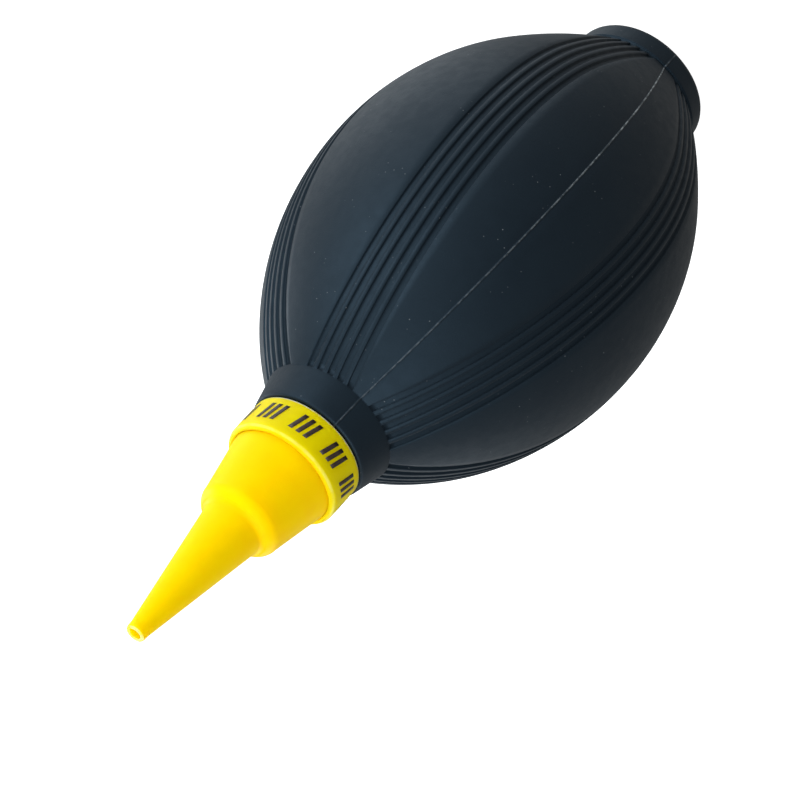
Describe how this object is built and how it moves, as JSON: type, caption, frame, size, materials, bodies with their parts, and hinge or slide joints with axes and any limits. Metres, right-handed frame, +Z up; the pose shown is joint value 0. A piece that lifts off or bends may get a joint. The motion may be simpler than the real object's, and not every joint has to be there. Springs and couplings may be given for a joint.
{
  "type": "dust blower bulb",
  "caption": "Ribbed rubber squeeze bulb with a tapered plastic nozzle held by a screwed collar, and one-way valves in its neck and foot.",
  "frame": {"origin": "centre of the foot ring's resting face", "axes": "+Z up along the axis of revolution, from the foot to the nozzle's tip; -Y is the side with the moulding seam"},
  "size_m": [0.062, 0.062, 0.1425],
  "materials": {
    "black_rubber": "matte, moulded, lightly dusty",
    "gasket_rubber": "matte",
    "yellow_plastic": "satin moulded polyethylene",
    "collar_plastic": "satin, with a printed band of plain marks",
    "cap_plastic": "satin moulded",
    "grey_plastic": "moulded",
    "silicone": "translucent, smooth",
    "white_felt": "needled felt",
    "dark_ink": "printed ink"
  },
  "bodies": {
    "blower": {"bulb": "black_rubber", "neck_bush": "grey_plastic", "outlet_valve_seat": "grey_plastic", "nozzle_gasket": "gasket_rubber"},
    "outlet_flap": {"outlet_flap": "silicone"},
    "nozzle": {"nozzle": "yellow_plastic"},
    "nozzle_collar": {"nozzle_collar": "collar_plastic"},
    "intake_unit": {"intake_bush": "grey_plastic", "intake_valve_seat": "grey_plastic", "intake_filter": "white_felt"},
    "intake_flap": {"intake_flap": "silicone"},
    "intake_cap": {"intake_cap": "cap_plastic"}
  },
  "joints": [
    {"name": "bulb_squeeze", "type": "slide", "parent": "blower", "child": "intake_unit", "axis": [0, 0, 1], "range_m": [0, 0.02], "stiffness_N_per_m": 600, "deforming": ["bulb"]},
    {"name": "outlet_flap_lift", "type": "slide", "parent": "blower", "child": "outlet_flap", "axis": [0, 0, 1], "range_m": [0, 0.0014]},
    {"name": "nozzle_lift", "type": "slide", "parent": "blower", "child": "nozzle", "axis": [0, 0, 1], "range_m": [0, 0.0045]},
    {"name": "collar_turn", "type": "hinge", "parent": "nozzle", "child": "nozzle_collar", "pos_m": [0, 0, 0.103], "axis": [0, 0, 1], "range_deg": [0, 1080]},
    {"name": "intake_flap_lift", "type": "slide", "parent": "intake_unit", "child": "intake_flap", "axis": [0, 0, 1], "range_m": [0, 0.0014]},
    {"name": "intake_cap_pull", "type": "slide", "parent": "intake_unit", "child": "intake_cap", "axis": [0, 0, -1], "range_m": [0, 0.006]}
  ],
  "couplings": [
    {"joint": "collar_turn", "follows": "nozzle_lift", "rad_per_m": 4188.8}
  ]
}
